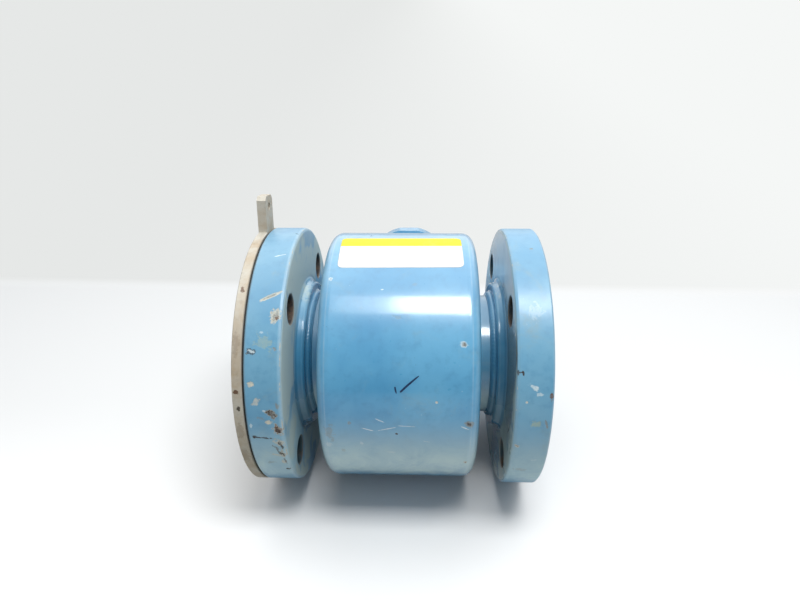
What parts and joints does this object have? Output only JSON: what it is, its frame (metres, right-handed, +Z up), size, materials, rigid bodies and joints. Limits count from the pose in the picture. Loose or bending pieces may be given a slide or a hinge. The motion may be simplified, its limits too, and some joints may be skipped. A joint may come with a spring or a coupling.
{
  "type": "electromagnetic flow meter sensor",
  "caption": "Flanged pipe sensor that measures the flow of a conducting liquid by magnetic induction, with a grounding ring and a round terminal box on a neck.",
  "frame": {"origin": "middle of the bore, halfway between the liner faces", "axes": "+X along the flow from inlet to outlet, +Z up as the meter lies at rest, +Y towards the terminal box"},
  "size_m": [0.2033, 0.3463, 0.2133],
  "materials": {
    "blue_paint": "satin enamel, worn and chipped, rusty in the chips",
    "tube_steel": "blue enamel over steel pipe",
    "ring_steel": "stainless steel, dull, with brown stains",
    "liner_rubber": "smooth moulded black rubber",
    "gasket_rubber": "black sheet rubber",
    "electrode_steel": "turned stainless steel",
    "bush_plastic": "natural insulating plastic",
    "spring_steel": "spring steel",
    "core_iron": "soft magnetic steel",
    "former_plastic": "black moulded plastic",
    "coil_wire": "enamelled copper winding",
    "lead_wire": "insulated wire",
    "screw_steel": "zinc-plated steel",
    "head_paint": "cast aluminium under blue enamel",
    "seal_resin": "cast resin",
    "terminal_plastic": "grey moulded plastic"
  },
  "bodies": {
    "root": {"flow_tube": "tube_steel", "liner": "liner_rubber", "inlet_flange": "blue_paint", "outlet_flange": "blue_paint", "ground_ring": "ring_steel", "ring_gasket": "gasket_rubber", "housing_band": "blue_paint", "housing_end_inlet": "blue_paint", "housing_end_outlet": "blue_paint", "electrode_upper": "electrode_steel", "electrode_lower": "electrode_steel", "electrode_bushes": "bush_plastic", "electrode_springs": "spring_steel", "electrode_nuts": "screw_steel", "pole_piece_neck_side": "core_iron", "pole_piece_far_side": "core_iron", "coil_former_neck_side": "former_plastic", "coil_former_far_side": "former_plastic", "coil_neck_side": "coil_wire", "coil_far_side": "coil_wire", "return_yoke": "core_iron", "yoke_screws": "screw_steel", "electrode_leads": "lead_wire", "coil_leads": "lead_wire", "neck": "blue_paint", "neck_gasket": "gasket_rubber", "neck_screws": "screw_steel", "terminal_box": "head_paint", "lead_seal": "seal_resin", "terminal_block": "terminal_plastic", "terminal_screws": "screw_steel", "earth_screw": "screw_steel", "cover_gasket": "gasket_rubber", "terminal_cover": "head_paint", "cover_screws": "screw_steel"}
  },
  "joints": []
}
